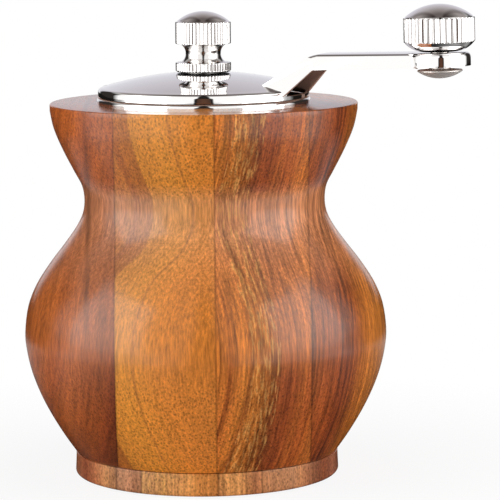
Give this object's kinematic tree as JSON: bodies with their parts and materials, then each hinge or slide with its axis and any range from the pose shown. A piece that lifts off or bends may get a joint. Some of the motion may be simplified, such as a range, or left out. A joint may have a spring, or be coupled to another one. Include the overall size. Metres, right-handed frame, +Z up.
{
  "type": "burr coffee grinder",
  "caption": "Hand-cranked burr coffee mill: turned laminated wooden body, plated dome cap with crank and knob, top nut that sets the grind, pull-off grounds base.",
  "frame": {"origin": "middle of the felt foot's underside, on the surface the mill stands on", "axes": "+Z up along the mill's axis, +X along the crank arm at rest, +Y to its left"},
  "size_m": [0.1291, 0.1018, 0.133],
  "materials": {
    "acacia": "glossy lacquer over laminated boards",
    "acacia_base": "glossy lacquer",
    "chrome": "bright plating",
    "steel": "plain",
    "burr_steel": "hardened, dark",
    "cast_zinc": "as cast",
    "bronze": "sintered",
    "cup_plastic": "fine texture",
    "nylon": "smooth",
    "seal_rubber": "matt",
    "felt": "pressed felt"
  },
  "bodies": {
    "mill_body": {"wooden_body": "acacia", "top_ring": "chrome", "upper_bridge": "steel", "upper_bush": "bronze", "burr_housing": "cast_zinc", "outer_burr": "burr_steel", "burr_clip": "steel", "lower_bridge": "cast_zinc", "lower_bush": "bronze", "housing_screws": "steel", "cup_sleeve": "steel"},
    "drive": {"drive_collar": "steel", "collar_clip": "steel"},
    "shaft": {"drive_shaft": "steel", "inner_burr": "burr_steel", "burr_washer": "steel", "burr_nut": "steel", "spring_seat": "steel", "adjusting_spring": "steel"},
    "crank": {"crank_cap": "chrome", "crank_hub": "steel", "knob_pin": "chrome", "knob_clip": "steel"},
    "knob": {"crank_knob": "chrome", "knob_cap": "chrome"},
    "nut": {"adjusting_nut": "chrome", "nut_washer": "nylon"},
    "base": {"wooden_base": "acacia_base", "grounds_cup": "cup_plastic", "cup_seal": "seal_rubber", "base_screws": "steel", "felt_foot": "felt"}
  },
  "joints": [
    {"name": "crank_turn", "type": "hinge", "parent": "mill_body", "child": "drive", "pos_m": [0, 0, 0.0913], "axis": [0, 0, 1], "continuous": true},
    {"name": "burr_adjust", "type": "slide", "parent": "drive", "child": "shaft", "axis": [0, 0, -1], "range_m": [0, 0.0015], "deforming": ["adjusting_spring"]},
    {"name": "crank_lift", "type": "slide", "parent": "drive", "child": "crank", "axis": [0, 0, 1], "range_m": [0, 0.03]},
    {"name": "nut_turn", "type": "hinge", "parent": "crank", "child": "nut", "pos_m": [0, 0, 0.12], "axis": [0, 0, 1], "range_deg": [0, 540]},
    {"name": "knob_spin", "type": "hinge", "parent": "crank", "child": "knob", "pos_m": [0.0686, 0, 0.1199], "axis": [-0.0244, 0, 0.9997], "continuous": true},
    {"name": "body_lift", "type": "slide", "parent": "base", "child": "mill_body", "axis": [0, 0, 1], "range_m": [0, 0.034]}
  ],
  "couplings": [
    {"joint": "nut_turn", "follows": "burr_adjust", "rad_per_m": 6283}
  ]
}
